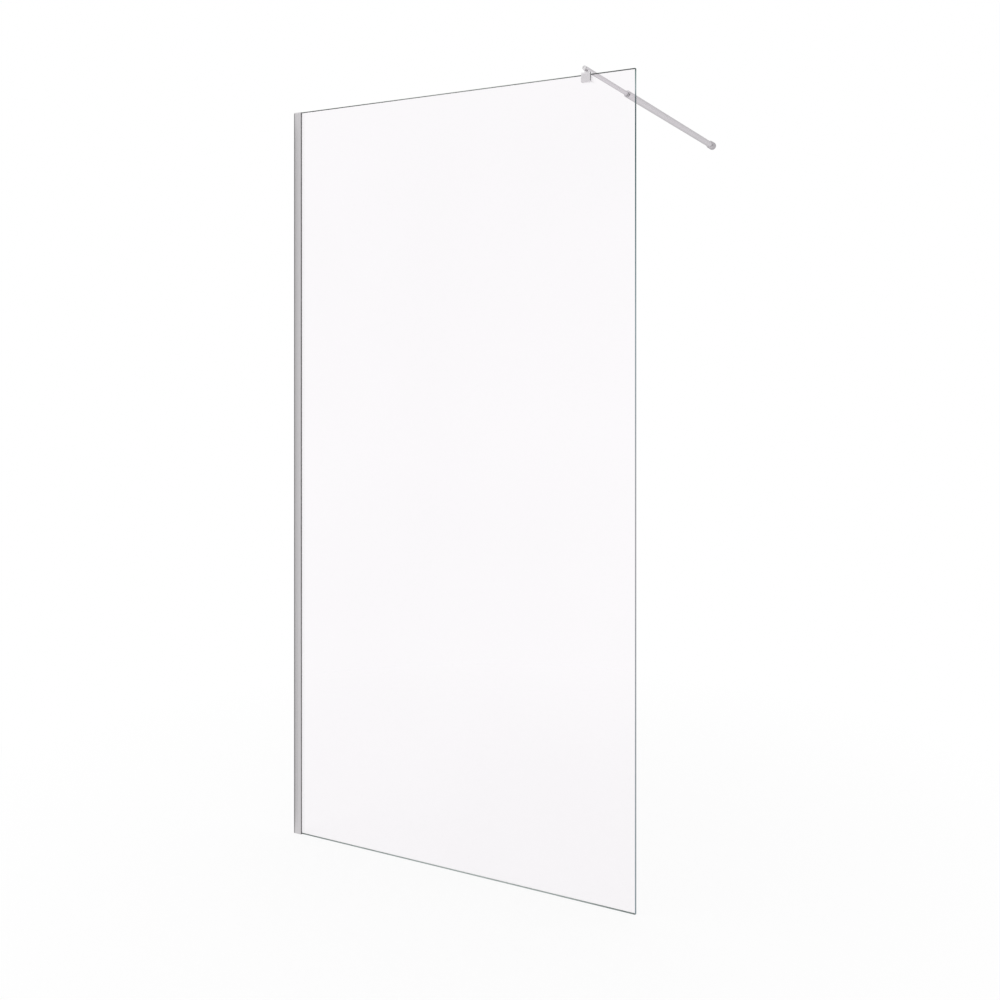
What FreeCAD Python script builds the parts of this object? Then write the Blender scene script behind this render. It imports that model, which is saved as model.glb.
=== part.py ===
import FreeCAD, Part
import os
import re
from enum import IntEnum
import Sketcher

# Walk-in shower screen: a glass pane in a wall channel, steadied by a telescopic bar.
# Millimetres. The origin lies on the wall face, at floor level, in the pane's middle plane.
# +X runs along the pane to its free edge, +Y behind the pane along the bar, +Z up.

# Driving dimensions, one cell of the sheet each.
SIZES = {
    # Glass pane
    "glass_height": 2000,
    "glass_width": 995,
    "glass_thickness": 8,
    "glass_arris": 0.8,
    "pane_travel_in": 4,
    # Wall channel
    "channel_depth": 25,
    "channel_wall": 1.5,
    "channel_web": 2,
    "channel_back_radius": 1.6,
    "channel_edge_radius": 1.2,
    "lip_reach": 0.8,
    "lip_length": 1.2,
    "rear_rib_gap": 4,
    "wall_hole_diameter": 5.2,
    "wall_hole_margin": 99,
    "wall_hole_count": 4,
    # Gaskets in the channel's mouth
    "gasket_thickness": 3,
    "gasket_base": 1.2,
    "gasket_play": 0.05,
    "tooth_margin": 0.9,
    "tooth_pitch": 2.4,
    "tooth_root": 1.6,
    "tooth_tip": 0.6,
    "bead_gap": 1.2,
    "bead_length": 2.4,
    "bead_slope": 1,
    "bead_ease": 0.4,
    # Top cap of the channel
    "cap_thickness": 2,
    "cap_tongue": 15,
    "cap_tongue_depth": 2.55,
    "cap_play": 0.15,
    "cap_glass_gap": 0.3,
    "cap_lead_in": 0.6,
    # Glass clip
    "clip_from_edge": 122,
    "clip_width": 26,
    "front_jaw": 10,
    "front_jaw_drop": 20,
    "rear_jaw": 6.5,
    "rear_jaw_drop": 15,
    "neck_width": 9.5,
    "bridge_thickness": 2.2,
    "clip_edge_radius": 1.8,
    "saddle_inset": 0.4,
    "saddle_drop": 4,
    "saddle_floor": 2.45,
    "seat_play": 0.05,
    "liner_thickness": 0.8,
    "liner_margin": 1,
    "plate_thickness": 1.5,
    "plate_gap": 0.2,
    "plate_corner_radius": 1.5,
    "grub_diameter": 4,
    "grub_margin": 3.5,
    "grub_sink": 0.5,
    "grub_key": 2,
    "grub_socket": 2,
    "thread_play": 0.05,
    "saddle_screw_diameter": 4,
    "saddle_screw_head": 7.4,
    "saddle_screw_past_axis": 2,
    "saddle_screw_key": 2.5,
    "saddle_screw_socket": 1.5,
    "drill_point_room": 0.3,
    # Telescopic bar
    "bar_span": 1028,
    "rod_diameter": 11,
    "rod_wall": 1.2,
    "rod_overlap": 90,
    "bar_travel_out": 180,
    "plug_front": 11,
    "plug_rear": 18,
    "plug_gap": 2.5,
    "push_play": 0.03,
    "end_cap_head": 2.5,
    "end_cap_bevel": 0.7,
    "end_cap_rim": 1.5,
    "end_cap_recess": 0.6,
    "end_cap_spigot": 8,
    "guide_length": 18,
    "guide_spigot": 14,
    "guide_vent": 5,
    "running_play": 0.05,
    "tube_wall": 1.2,
    "tube_mouth": 264,
    "collar_flange": 2,
    "collar_chamfer": 0.4,
    "collar_tail": 5.5,
    "collar_wall": 0.67,
    "collar_rod_gap": 0.3,
    "bush_wall": 1.72,
    "bush_depth": 8,
    "bush_recess": 0.5,
    "lock_diameter": 5,
    "lock_setback": 16,
    "lock_gap": 0.3,
    "lock_sink": 0.4,
    "lock_key": 2.5,
    "lock_socket": 1.4,
    # Wall end of the bar
    "base_overhang": 1.2,
    "base_disc": 4,
    "base_spigot": 22,
    "base_hole_diameter": 5.2,
    "base_hole_length": 3.5,
    "base_counterbore": 9.6,
    "base_grub_diameter": 4,
    "base_grub_setback": 10,
    "base_grub_sink": 0.4,
    "base_grub_room": 0.3,
    "base_grub_key": 2,
    "base_grub_socket": 1.8,
    "rosette_wall": 1.6,
    "rosette_lip": 8,
    "rosette_length": 33,
    "rosette_nose": 7,
    "rosette_rim": 0.4,
    "rosette_play": 0.08,
    "rosette_disc_gap": 0.3,
    "ring_width": 2,
}

# Places and sizes that follow from the sheet, as expression text.
GLASS_HALF = "(glass_thickness / 2)"
CHANNEL_HEIGHT = "(glass_height - cap_thickness)"
CHANNEL_INNER = "(glass_thickness / 2 + gasket_thickness)"
CHANNEL_HALF = f"({CHANNEL_INNER} + channel_wall)"
GASKET_SEAT = "(2 * gasket_play + tooth_margin + tooth_pitch + tooth_root + bead_gap + bead_length)"
LIP_INNER = f"({CHANNEL_INNER} - lip_reach)"
FRONT_MOUTH = "channel_depth"
RIB_SETBACK = f"(lip_length + {GASKET_SEAT})"
REAR_MOUTH = f"(channel_web + rear_rib_gap + lip_length + {RIB_SETBACK})"
CAP_SLOT_END = "(channel_web + cap_play + cap_tongue_depth)"
GLASS_INSET = f"({CAP_SLOT_END} + cap_glass_gap + pane_travel_in)"
CLIP_FRONT = "(-glass_thickness / 2 - liner_thickness - front_jaw)"
SLOT_FRONT = "(-glass_thickness / 2 - liner_thickness)"
LINER_REAR = "(glass_thickness / 2 + liner_thickness)"
PLATE_REAR = "(glass_thickness / 2 + liner_thickness + plate_thickness)"
SLOT_REAR = "(glass_thickness / 2 + liner_thickness + plate_thickness + plate_gap)"
CLIP_REAR = "(glass_thickness / 2 + liner_thickness + plate_thickness + plate_gap + rear_jaw)"
CLIP_TOP = "(liner_thickness + bridge_thickness)"
STRAP_WIDTH = "(neck_width - 2 * liner_margin)"
GRUB_SPACING = "(rear_jaw_drop - 2 * grub_margin)"
SADDLE_MARGIN = "(clip_edge_radius + saddle_inset)"
ROD_RADIUS = "(rod_diameter / 2)"
ROD_BORE = "(rod_diameter / 2 - rod_wall)"
ROD_START = "-(plug_front + plug_gap + end_cap_spigot)"
ROD_END = "(tube_mouth + bar_travel_out + rod_overlap)"
BAR_RISE = f"({CLIP_TOP} + saddle_floor + seat_play + {ROD_RADIUS})"
BAR_X = f"({GLASS_INSET} + glass_width - clip_from_edge)"
BAR_Z = f"(glass_height + {BAR_RISE})"
BUSH_RADIUS = f"({ROD_RADIUS} + running_play + bush_wall)"
BUSH_SEAT = f"({BUSH_RADIUS} + push_play)"
COLLAR_RADIUS = f"({BUSH_SEAT} + collar_wall)"
TUBE_BORE = f"({COLLAR_RADIUS} + push_play)"
TUBE_RADIUS = f"({TUBE_BORE} + tube_wall)"
TUBE_START = "(tube_mouth + collar_flange)"
TUBE_END = "(bar_span - base_disc)"
LOCK_Y = "(collar_flange + lock_setback)"
LOCK_TIP = f"({ROD_RADIUS} + lock_gap)"
COLLAR_END = f"({LOCK_Y} + lock_diameter / 2 + collar_tail)"
BASE_GRUB_Y = "(base_disc + base_grub_setback)"
BASE_BORE = "(base_counterbore / 2)"
BASE_HOLE = "(base_hole_diameter / 2)"
BASE_RADIUS = f"({TUBE_RADIUS} + base_overhang)"
ROSETTE_BORE = f"({TUBE_RADIUS} + rosette_play)"
ROSETTE_ROOM = f"({BASE_RADIUS} + rosette_disc_gap)"
ROSETTE_RADIUS = f"({ROSETTE_ROOM} + rosette_wall)"
LIP_FACE = "(rosette_lip - rosette_length)"

NEAR = 1e-6
UPRIGHT = FreeCAD.Vector(0, 0, 1)
# Sockets are turned a little, so that no corner of the hexagon falls on a sketch axis.
SOCKET_ANGLE_DEG = 10


class Axis(IntEnum):
    """Numbers that a sketch gives its own two axes; the first also holds the origin."""

    ACROSS = -1
    UP = -2


class Point(IntEnum):
    """Numbers of the points on a sketch element."""

    START = 1
    END = 2
    CENTRE = 3


doc = FreeCAD.newDocument("shower_screen")
sheet = doc.addObject("Spreadsheet::Sheet", "sizes")
sub_parts = []


# Sheet and expressions

def fill_sheet():
    for row, (alias, size) in enumerate(SIZES.items(), start=1):
        sheet.set(f"A{row}", alias)
        sheet.set(f"B{row}", str(size))
        sheet.setAlias(f"B{row}", alias)
    doc.recompute()


def in_sheet(text):
    """Expression text with every size name pointed at its cell."""
    return re.sub(r"[a-z_]+", lambda word: sheet_name(word.group()), text)


def sheet_name(word):
    return "sizes." + word if word in SIZES else word


def bind(item, prop, text):
    item.setExpression(prop, in_sheet(text))


def value(text):
    return float(sheet.evalExpression(in_sheet(text)))


# Bodies, sketches and features

def new_body(label, x="0", y="0", z="0"):
    body = doc.addObject("PartDesign::Body", label)
    body.Label = label
    for axis, text in zip("xyz", (x, y, z)):
        bind(body, f"Placement.Base.{axis}", text)
    sub_parts.append(body)
    return body


def origin_item(body, role):
    for item in body.Origin.OriginFeatures:
        if item.Role == role:
            return item
    raise RuntimeError(f"{body.Label} has no {role}")


def new_sketch(body, plane, offset=None):
    sketch = body.newObject("Sketcher::SketchObject", f"{body.Label}_sketch")
    sketch.AttachmentSupport = [(origin_item(body, plane), "")]
    sketch.MapMode = "FlatFace"
    if offset is not None:
        bind(sketch, "AttachmentOffset.Base.z", offset)
    return sketch


def tie_point(sketch, element, point, across, up):
    """Hold one sketch point at a place given by two expressions."""
    for kind, axis, text in (("DistanceX", Axis.UP, across), ("DistanceY", Axis.ACROSS, up)):
        if text == "0":
            sketch.addConstraint(Sketcher.Constraint("PointOnObject", element, point, axis))
            continue
        rule = Sketcher.Constraint(kind, Axis.ACROSS, Point.START, element, point, value(text))
        row = sketch.addConstraint(rule)
        bind(sketch, f"Constraints[{row}]", text)


def polygon(body, plane, corners, offset=None):
    """Closed outline of straight edges, each corner tied to the sheet."""
    sketch = new_sketch(body, plane, offset)
    points = [FreeCAD.Vector(value(across), value(up), 0) for across, up in corners]
    following = points[1:] + points[:1]
    for first, second in zip(points, following):
        sketch.addGeometry(Part.LineSegment(first, second), False)
    for index, corner in enumerate(corners):
        after = (index + 1) % len(corners)
        sketch.addConstraint(Sketcher.Constraint("Coincident", index, Point.END, after, Point.START))
        tie_point(sketch, index, Point.START, *corner)
    return sketch


def box_outline(body, plane, low, high, offset=None):
    """Rectangle between two corners, each a pair of expressions."""
    corners = [low, (high[0], low[1]), high, (low[0], high[1])]
    return polygon(body, plane, corners, offset)


def circles(body, plane, centres, radius, offset=None):
    """One circle of the same radius at each centre."""
    sketch = new_sketch(body, plane, offset)
    for across, up in centres:
        centre = FreeCAD.Vector(value(across), value(up), 0)
        ring = Part.Circle(centre, FreeCAD.Vector(0, 0, 1), value(radius))
        index = sketch.addGeometry(ring, False)
        tie_point(sketch, index, Point.CENTRE, across, up)
        row = sketch.addConstraint(Sketcher.Constraint("Radius", index, value(radius)))
        bind(sketch, f"Constraints[{row}]", radius)
    return sketch


def hexagon(body, plane, key, offset):
    """Socket outline for a key of the given size across flats."""
    reach = f"{key} / sqrt(3)"
    corners = []
    for number in range(6):
        angle = SOCKET_ANGLE_DEG + 60 * number
        corners.append((f"{reach} * cos({angle} deg)", f"{reach} * sin({angle} deg)"))
    return polygon(body, plane, corners, offset)


def pad(body, sketch, length, symmetric=False, backwards=False):
    feature = body.newObject("PartDesign::Pad", f"{body.Label}_pad")
    feature.Profile = sketch
    bind(feature, "Length", length)
    feature.SideType = "Symmetric" if symmetric else "One side"
    feature.Reversed = backwards
    doc.recompute()
    return feature


def cut(body, sketch, depth=None, symmetric=False, backwards=False):
    """Pocket that has to take material away; with no depth it goes right through."""
    before = body.Shape.Volume
    feature = body.newObject("PartDesign::Pocket", f"{body.Label}_pocket")
    feature.Profile = sketch
    feature.SideType = "Symmetric" if symmetric else "One side"
    feature.Reversed = backwards
    if depth is None:
        feature.Type = "ThroughAll"
    else:
        bind(feature, "Length", depth)
    doc.recompute()
    if body.Shape.Volume > before - NEAR:
        raise RuntimeError(f"{feature.Label} cut nothing")
    return feature


def turn(body, sketch, axis="V_Axis"):
    """Solid of revolution about an axis of the sketch."""
    feature = body.newObject("PartDesign::Revolution", f"{body.Label}_turned")
    feature.Profile = sketch
    feature.ReferenceAxis = (sketch, [axis])
    feature.Angle = 360
    doc.recompute()
    return feature


def turned_cut(body, sketch):
    """Turned recess about the sketch's upright axis, which has to take material away."""
    before = body.Shape.Volume
    feature = body.newObject("PartDesign::Groove", f"{body.Label}_groove")
    feature.Profile = sketch
    feature.ReferenceAxis = (sketch, ["V_Axis"])
    feature.Angle = 360
    doc.recompute()
    if body.Shape.Volume > before - NEAR:
        raise RuntimeError(f"{feature.Label} cut nothing")
    return feature


def edges_where(feature, test, along=None):
    """Names of the edges whose end points, in the body's own frame, all pass the test.

    With a direction given in along, only the straight edges that run that way count.
    """
    names = []
    for number, edge in enumerate(feature.Shape.Edges, start=1):
        ends = [vertex.Point for vertex in edge.Vertexes]
        if along is not None and (ends[-1] - ends[0]).cross(along).Length > NEAR:
            continue
        if all(test(point) for point in ends):
            names.append(f"Edge{number}")
    return names


def near(first, second):
    return abs(first - second) < NEAR


def soften(body, base, kind, names, size):
    """Fillet or chamfer on the named edges of a feature."""
    feature = body.newObject(f"PartDesign::{kind}", f"{body.Label}_{kind.lower()}")
    feature.Base = (base, names)
    bind(feature, "Radius" if kind == "Fillet" else "Size", size)
    doc.recompute()
    return feature


def repeat(body, features, axis, length, count):
    """Row of copies of features along one of the body's axes."""
    feature = body.newObject("PartDesign::LinearPattern", f"{body.Label}_row")
    feature.Originals = features
    feature.Direction = (origin_item(body, axis), [""])
    bind(feature, "Length", length)
    bind(feature, "Occurrences", count)
    body.Tip = feature
    doc.recompute()
    return feature


def mirrored_down(points):
    """The same points on the other side of the across axis."""
    return [(across, f"-{up}") for across, up in points]


# Wall channel, its cap and its gaskets

def at_corner(point, corners):
    return any(near(point.x, x) and near(point.y, y) for x, y in corners)


def round_uprights(body, solid):
    """Round the channel's outer upright edges, more at the wall than at the mouth."""
    half = value(CHANNEL_HALF)
    wall = [(0, half), (0, -half)]
    mouth = [(value(FRONT_MOUTH), -half), (value(REAR_MOUTH), half)]
    for corners, radius in ((wall, "channel_back_radius"), (mouth, "channel_edge_radius")):
        names = edges_where(solid, lambda point: at_corner(point, corners), UPRIGHT)
        solid = soften(body, solid, "Fillet", names, radius)


def leg(mouth):
    """Section of one leg of the channel, round its lip and the rib behind its gasket."""
    lip_back = f"{mouth} - lip_length"
    rib_face = f"{mouth} - {RIB_SETBACK}"
    rib_back = f"{mouth} - {RIB_SETBACK} - lip_length"
    return [
        ("0", CHANNEL_HALF),
        (mouth, CHANNEL_HALF),
        (mouth, LIP_INNER),
        (lip_back, LIP_INNER),
        (lip_back, CHANNEL_INNER),
        (rib_face, CHANNEL_INNER),
        (rib_face, LIP_INNER),
        (rib_back, LIP_INNER),
        (rib_back, CHANNEL_INNER),
        ("channel_web", CHANNEL_INNER),
    ]


def make_wall_channel():
    body = new_body("wall_channel")
    profile = polygon(body, "XY_Plane", leg(REAR_MOUTH)[::-1] + mirrored_down(leg(FRONT_MOUTH)))
    round_uprights(body, pad(body, profile, CHANNEL_HEIGHT))
    hole = circles(body, "YZ_Plane", [("0", "wall_hole_margin")], "wall_hole_diameter / 2")
    drilled = cut(body, hole, "channel_web", backwards=True)
    repeat(body, [drilled], "Z_Axis", f"{CHANNEL_HEIGHT} - 2 * wall_hole_margin", "wall_hole_count")


def make_channel_top_cap():
    body = new_body("channel_top_cap", z=CHANNEL_HEIGHT)
    slot_half = f"({GLASS_HALF} + cap_glass_gap)"
    rear, front = (
        [("0", CHANNEL_HALF), (mouth, CHANNEL_HALF), (mouth, slot_half), (CAP_SLOT_END, slot_half)]
        for mouth in (REAR_MOUTH, FRONT_MOUTH)
    )
    outline = polygon(body, "XY_Plane", rear[::-1] + mirrored_down(front))
    round_uprights(body, pad(body, outline, "cap_thickness"))
    reach = f"({LIP_INNER} - cap_play)"
    low = ("channel_web + cap_play", f"-{reach}")
    high = (CAP_SLOT_END, reach)
    tongue = pad(body, box_outline(body, "XY_Plane", low, high), "cap_tongue", backwards=True)
    tip = edges_where(tongue, lambda point: near(point.z, -value("cap_tongue")))
    soften(body, tongue, "Chamfer", tip, "cap_lead_in")


def make_gasket(label, mouth):
    """Strip with two sealing teeth and a bead that closes one leg's mouth."""
    body = new_body(label)
    start = f"({mouth} - {RIB_SETBACK} + gasket_play)"
    end = f"({mouth} - lip_length - gasket_play)"
    foot = f"({CHANNEL_INNER} - gasket_base)"
    outline = [(start, CHANNEL_INNER), (start, foot)]
    for tooth in range(2):
        root = f"({start} + tooth_margin + {tooth} * tooth_pitch)"
        taper = "(tooth_root - tooth_tip) / 2"
        outline += [
            (root, foot),
            (f"{root} + {taper}", GLASS_HALF),
            (f"{root} + {taper} + tooth_tip", GLASS_HALF),
            (f"{root} + tooth_root", foot),
        ]
    outline += [
        (f"{end} - bead_length", foot),
        (f"{end} - bead_length + bead_slope", GLASS_HALF),
        (f"{mouth} - bead_ease", GLASS_HALF),
        (mouth, f"({GLASS_HALF} + bead_ease)"),
        (mouth, f"({LIP_INNER} - gasket_play)"),
        (end, f"({LIP_INNER} - gasket_play)"),
        (end, CHANNEL_INNER),
    ]
    if mouth == FRONT_MOUTH:
        outline = mirrored_down(outline)
    pad(body, polygon(body, "XY_Plane", outline), CHANNEL_HEIGHT)


# Glass pane

def make_glass_panel():
    body = new_body("glass_panel", x=GLASS_INSET)
    outline = box_outline(body, "XZ_Plane", ("0", "0"), ("glass_width", "glass_height"))
    pane = pad(body, outline, "glass_thickness", symmetric=True)
    rims = [
        name
        for side in (-1, 1)
        for name in edges_where(pane, lambda point: near(point.y, side * value(GLASS_HALF)))
    ]
    soften(body, pane, "Chamfer", rims, "glass_arris")


# Glass clip; its pieces are measured from the pane's top edge under the bar

def clip_piece(label, y="0", z="0"):
    return new_body(label, BAR_X, y, f"glass_height + {z}")


def narrow_behind(body, start, width):
    """Cut both sides of a clip piece back to a width, from one depth on to the rear."""
    for side in (-1, 1):
        low = (f"{side} * {width} / 2", start)
        high = (f"{side} * clip_width", f"{CLIP_REAR} + rear_jaw")
        narrowed = cut(body, box_outline(body, "XY_Plane", low, high), symmetric=True)
    return narrowed


def make_clip_body():
    body = clip_piece("clip_body")
    fork = [
        (CLIP_FRONT, "-front_jaw_drop"),
        (SLOT_FRONT, "-front_jaw_drop"),
        (SLOT_FRONT, "liner_thickness"),
        (SLOT_REAR, "liner_thickness"),
        (SLOT_REAR, "-rear_jaw_drop"),
        (CLIP_REAR, "-rear_jaw_drop"),
        (CLIP_REAR, CLIP_TOP),
        (CLIP_FRONT, CLIP_TOP),
    ]
    pad(body, polygon(body, "YZ_Plane", fork), "clip_width", symmetric=True)
    jaws = narrow_behind(body, SLOT_FRONT, "neck_width")
    faces = (value(CLIP_FRONT), value(CLIP_REAR))
    rims = [name for face in faces for name in edges_where(jaws, lambda point: near(point.y, face))]
    soften(body, jaws, "Fillet", rims, "clip_edge_radius")
    low = (f"{CLIP_FRONT} + {SADDLE_MARGIN}", CLIP_TOP)
    high = (f"{CLIP_REAR} - {SADDLE_MARGIN}", f"{BAR_RISE} - saddle_drop")
    pad(body, box_outline(body, "YZ_Plane", low, high), "neck_width", symmetric=True)
    trough = circles(body, "XZ_Plane", [("0", BAR_RISE)], f"{ROD_RADIUS} + seat_play")
    cut(body, trough, symmetric=True)
    head = "saddle_screw_head / 2"
    shank = "saddle_screw_diameter / 2 + thread_play"
    screw_seat = [
        ("0", "liner_thickness"),
        (head, "liner_thickness"),
        (shank, f"liner_thickness + {head} - ({shank})"),
        (shank, BAR_RISE),
        ("0", BAR_RISE),
    ]
    turned_cut(body, polygon(body, "XZ_Plane", screw_seat))
    row = [("0", f"-(grub_margin + {number} * {GRUB_SPACING})") for number in range(2)]
    cut(body, circles(body, "XZ_Plane", row, "grub_diameter / 2"))


def make_clip_liner():
    """Soft U-strip, as wide as the front jaw there and as the neck behind it."""
    body = clip_piece("clip_liner")
    front_end = "-(front_jaw_drop - liner_margin)"
    rear_end = "-(rear_jaw_drop - liner_margin)"
    strip = [
        (SLOT_FRONT, front_end),
        (f"-{GLASS_HALF}", front_end),
        (f"-{GLASS_HALF}", "0"),
        (GLASS_HALF, "0"),
        (GLASS_HALF, rear_end),
        (LINER_REAR, rear_end),
        (LINER_REAR, "liner_thickness"),
        (SLOT_FRONT, "liner_thickness"),
    ]
    pad(body, polygon(body, "YZ_Plane", strip), "clip_width - 2 * liner_margin", symmetric=True)
    narrow_behind(body, f"-{GLASS_HALF}", STRAP_WIDTH)


def make_clip_pressure_plate():
    body = clip_piece("clip_pressure_plate")
    low = (LINER_REAR, "-(rear_jaw_drop - liner_margin)")
    high = (PLATE_REAR, "-liner_margin")
    plate = pad(body, box_outline(body, "YZ_Plane", low, high), STRAP_WIDTH, symmetric=True)
    corners = [
        f"Edge{number}"
        for number, edge in enumerate(plate.Shape.Edges, start=1)
        if near(edge.Length, value("plate_thickness"))
    ]
    soften(body, plate, "Fillet", corners, "plate_corner_radius")


def make_clip_grub_screws():
    body = clip_piece("clip_grub_screws", PLATE_REAR, "-(rear_jaw_drop - grub_margin)")
    length = f"({CLIP_REAR} - grub_sink - {PLATE_REAR})"
    radius = "(grub_diameter / 2 - thread_play)"
    shank = turn(body, box_outline(body, "XY_Plane", ("0", "0"), (radius, length)))
    socket = cut(body, hexagon(body, "XZ_Plane", "grub_key", f"-{length}"), "grub_socket", backwards=True)
    repeat(body, [shank, socket], "Z_Axis", GRUB_SPACING, "2")


def make_saddle_screw():
    body = clip_piece("saddle_screw", z="liner_thickness")
    head = "(saddle_screw_head / 2 - thread_play)"
    shank = "(saddle_screw_diameter / 2)"
    length = f"({BAR_RISE} - liner_thickness + saddle_screw_past_axis)"
    outline = [
        ("0", "0"),
        (head, "0"),
        (shank, f"{head} - {shank}"),
        (shank, length),
        ("0", length),
    ]
    turn(body, polygon(body, "XZ_Plane", outline))
    socket = hexagon(body, "XY_Plane", "saddle_screw_key", "0")
    cut(body, socket, "saddle_screw_socket", backwards=True)


# Telescopic bar; its pieces are measured along the bar's axis from the pane's middle plane

def bar_piece(label, y="0"):
    return new_body(label, BAR_X, y, BAR_Z)


def make_rod_plug():
    body = bar_piece("rod_plug")
    radius = f"({ROD_BORE} - push_play)"
    turn(body, box_outline(body, "XY_Plane", ("0", "-plug_front"), (radius, "plug_rear")))
    top = "saddle_screw_past_axis + drill_point_room"
    cut(body, circles(body, "XY_Plane", [("0", "0")], "saddle_screw_diameter / 2 + thread_play", top))


def make_inner_rod():
    body = bar_piece("inner_rod")
    turn(body, box_outline(body, "XY_Plane", (ROD_BORE, ROD_START), (ROD_RADIUS, ROD_END)))
    cut(body, circles(body, "XY_Plane", [("0", "0")], "saddle_screw_diameter / 2 + thread_play"))


def make_rod_end_cap():
    body = bar_piece("rod_end_cap", ROD_START)
    rim = f"({ROD_RADIUS} - end_cap_bevel - end_cap_rim)"
    spigot = f"({ROD_BORE} - push_play)"
    outline = [
        ("0", "end_cap_recess - end_cap_head"),
        (rim, "end_cap_recess - end_cap_head"),
        (rim, "-end_cap_head"),
        (f"{ROD_RADIUS} - end_cap_bevel", "-end_cap_head"),
        (ROD_RADIUS, "end_cap_bevel - end_cap_head"),
        (ROD_RADIUS, "0"),
        (spigot, "0"),
        (spigot, "end_cap_spigot"),
        ("0", "end_cap_spigot"),
    ]
    turn(body, polygon(body, "XY_Plane", outline))


def make_rod_guide_bush():
    body = bar_piece("rod_guide_bush", ROD_END)
    spigot = f"({ROD_BORE} - push_play)"
    radius = f"({TUBE_BORE} - running_play)"
    outline = [
        ("guide_vent / 2", "-guide_spigot"),
        (spigot, "-guide_spigot"),
        (spigot, "0"),
        (radius, "0"),
        (radius, "guide_length"),
        ("guide_vent / 2", "guide_length"),
    ]
    turn(body, polygon(body, "XY_Plane", outline))


def make_outer_tube():
    body = bar_piece("outer_tube")
    turn(body, box_outline(body, "XY_Plane", (TUBE_BORE, TUBE_START), (TUBE_RADIUS, TUBE_END)))
    lock = circles(body, "XY_Plane", [("0", f"tube_mouth + {LOCK_Y}")], "lock_diameter / 2")
    cut(body, lock, backwards=True)
    base = circles(body, "XY_Plane", [("0", f"bar_span - {BASE_GRUB_Y}")], "base_grub_diameter / 2")
    cut(body, base)


def make_mouth_collar():
    body = bar_piece("mouth_collar", "tube_mouth")
    bore = f"({ROD_RADIUS} + collar_rod_gap)"
    outline = [
        (BUSH_SEAT, "0"),
        (f"{TUBE_RADIUS} - collar_chamfer", "0"),
        (TUBE_RADIUS, "collar_chamfer"),
        (TUBE_RADIUS, "collar_flange"),
        (COLLAR_RADIUS, "collar_flange"),
        (COLLAR_RADIUS, COLLAR_END),
        (bore, COLLAR_END),
        (bore, "bush_depth"),
        (BUSH_SEAT, "bush_depth"),
    ]
    turn(body, polygon(body, "XY_Plane", outline))
    cut(body, circles(body, "XY_Plane", [("0", LOCK_Y)], "lock_diameter / 2"), backwards=True)


def make_mouth_bush():
    body = bar_piece("mouth_bush", "tube_mouth")
    low = (f"{ROD_RADIUS} + running_play", "bush_recess")
    high = (BUSH_RADIUS, "bush_depth")
    turn(body, box_outline(body, "XY_Plane", low, high))


def make_tube_lock_screw():
    body = bar_piece("tube_lock_screw", f"tube_mouth + {LOCK_Y}")
    top = f"({TUBE_RADIUS} - lock_sink)"
    radius = "(lock_diameter / 2 - thread_play)"
    turn(body, box_outline(body, "XZ_Plane", ("0", LOCK_TIP), (radius, top)))
    cut(body, hexagon(body, "XY_Plane", "lock_key", top), "lock_socket")


# Wall end of the bar; its pieces are measured from the wall face, back towards the pane

def wall_end_piece(label):
    return bar_piece(label, "bar_span")


def make_wall_base():
    body = wall_end_piece("wall_base")
    spigot = f"({TUBE_BORE} - push_play)"
    back = "-(base_disc + base_spigot)"
    outline = [
        (BASE_HOLE, "0"),
        (BASE_RADIUS, "0"),
        (BASE_RADIUS, "-base_disc"),
        (spigot, "-base_disc"),
        (spigot, back),
        (BASE_BORE, back),
        (BASE_BORE, "-base_hole_length"),
        (BASE_HOLE, "-base_hole_length"),
    ]
    turn(body, polygon(body, "XY_Plane", outline))
    cut(body, circles(body, "XY_Plane", [("0", f"-{BASE_GRUB_Y}")], "base_grub_diameter / 2"))


def make_base_grub_screw():
    body = bar_piece("base_grub_screw", f"bar_span - {BASE_GRUB_Y}")
    tip = f"-({BASE_BORE} + base_grub_room)"
    end = f"-({TUBE_RADIUS} - base_grub_sink)"
    radius = "(base_grub_diameter / 2 - thread_play)"
    turn(body, box_outline(body, "XZ_Plane", ("0", end), (radius, tip)))
    socket = hexagon(body, "XY_Plane", "base_grub_key", end)
    cut(body, socket, "base_grub_socket", backwards=True)


def make_wall_rosette():
    """Thin cup with a tapered nose and a long lip that slides on the tube."""
    body = wall_end_piece("wall_rosette")
    outline = [
        (ROSETTE_ROOM, "0"),
        (ROSETTE_RADIUS, "0"),
        (ROSETTE_RADIUS, "rosette_nose - rosette_length"),
        (f"{ROSETTE_BORE} + rosette_rim", "-rosette_length"),
        (ROSETTE_BORE, "-rosette_length"),
        (ROSETTE_BORE, LIP_FACE),
        (ROSETTE_ROOM, LIP_FACE),
    ]
    turn(body, polygon(body, "XY_Plane", outline))


def make_rosette_grip_ring():
    body = wall_end_piece("rosette_grip_ring")
    low = (f"{TUBE_RADIUS} + running_play", LIP_FACE)
    high = (f"{ROSETTE_ROOM} - push_play", f"{LIP_FACE} + ring_width")
    turn(body, box_outline(body, "XY_Plane", low, high))


# Checks and files

def check_document():
    for item in doc.Objects:
        if "Invalid" in item.State or "Error" in item.State:
            raise RuntimeError(f"{item.Label} failed: {item.State}")
    for body in sub_parts:
        shape = body.Shape
        if shape.isNull() or not shape.isValid() or not shape.Solids:
            raise RuntimeError(f"{body.Label} has no valid solid")


def write_parts():
    os.makedirs("parts", exist_ok=True)
    for body in sub_parts:
        body.Shape.exportStep(f"parts/{body.Label}.step")
        box = body.Shape.BoundBox
        print(f"{body.Label}: {len(body.Shape.Solids)} solid, {body.Shape.Volume:.1f} mm3, {box}")


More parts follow.
